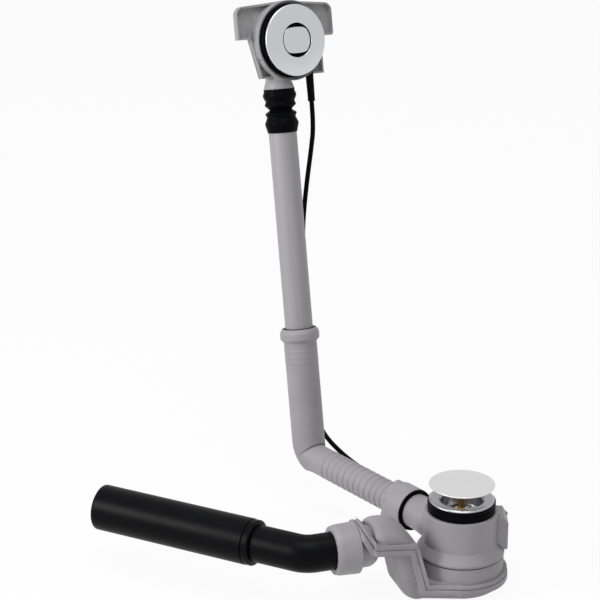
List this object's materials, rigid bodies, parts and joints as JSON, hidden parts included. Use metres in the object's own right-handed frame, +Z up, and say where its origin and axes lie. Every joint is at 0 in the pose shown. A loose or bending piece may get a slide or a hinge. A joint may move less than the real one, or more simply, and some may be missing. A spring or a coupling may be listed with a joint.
{
  "type": "bath waste and overflow",
  "caption": "Bath waste with lift-up plug, two-shell trap and swivel outlet pipe, joined by a corrugated arm to a telescopic overflow pipe whose push button works the plug by cable.",
  "frame": {"origin": "on the waste's axis, at the underside of the bath flange", "axes": "+Z up along the waste's axis, -X along the overflow arm towards the overflow, +Y away from the trap's outlet"},
  "size_m": [0.4371, 0.3981, 0.57],
  "materials": {
    "grey_plastic": "moulded, satin",
    "black_plastic": "smooth, half gloss",
    "black_rubber": "dull",
    "cable_black": "dull sheath",
    "satin_metal": "satin plated",
    "steel": "bright",
    "brass": "turned"
  },
  "bodies": {
    "waste": {"waste_body": "grey_plastic", "waste_seal": "black_rubber", "waste_flange": "satin_metal", "flange_screw": "steel", "cable_box": "grey_plastic", "cable_end_gland": "cable_black", "overflow_elbow": "grey_plastic", "socket_seal": "black_rubber", "overflow_nut": "grey_plastic", "overflow_nut_seal": "black_rubber", "trap_cover": "grey_plastic", "trap_base": "grey_plastic", "trap_seal": "black_rubber", "outlet_nut": "grey_plastic", "outlet_seal": "black_rubber", "control_cable": "cable_black"},
    "plug": {"plug_cap": "satin_metal", "plug_seal": "black_rubber", "plug_stem": "brass"},
    "lever": {"lift_lever": "steel"},
    "overflow": {"overflow_pipe": "grey_plastic", "bellows_sleeve": "black_rubber", "overflow_housing": "grey_plastic", "overflow_seal": "black_rubber", "overflow_flange": "black_plastic", "flange_screws": "steel", "cover_disc": "satin_metal", "cable_gland": "cable_black", "return_spring": "steel"},
    "button": {"push_button": "satin_metal"},
    "outlet": {"outlet_bend": "black_plastic"}
  },
  "joints": [
    {"name": "telescope", "type": "slide", "parent": "waste", "child": "overflow", "axis": [-0.2143, 0.0613, 0.9748], "range_m": [-0.04, 0.045], "deforming": ["control_cable"]},
    {"name": "button_press", "type": "slide", "parent": "overflow", "child": "button", "axis": [0.9757, -0.0336, 0.2166], "range_m": [0, 0.01], "deforming": ["return_spring"]},
    {"name": "plug_lift", "type": "slide", "parent": "waste", "child": "plug", "axis": [0, 0, 1], "range_m": [-0.014, 0]},
    {"name": "lever_turn", "type": "hinge", "parent": "waste", "child": "lever", "pos_m": [-0.00969, 0.00757, -0.041], "axis": [0.6157, 0.788, 0], "range_deg": [0, 70]},
    {"name": "outlet_swivel", "type": "hinge", "parent": "waste", "child": "outlet", "pos_m": [0, 0, -0.038], "axis": [-0.342, -0.9397, 0], "continuous": true}
  ],
  "couplings": [
    {"joint": "plug_lift", "follows": "button_press", "ratio": -1.4},
    {"joint": "lever_turn", "follows": "button_press", "rad_per_m": 122.17}
  ]
}
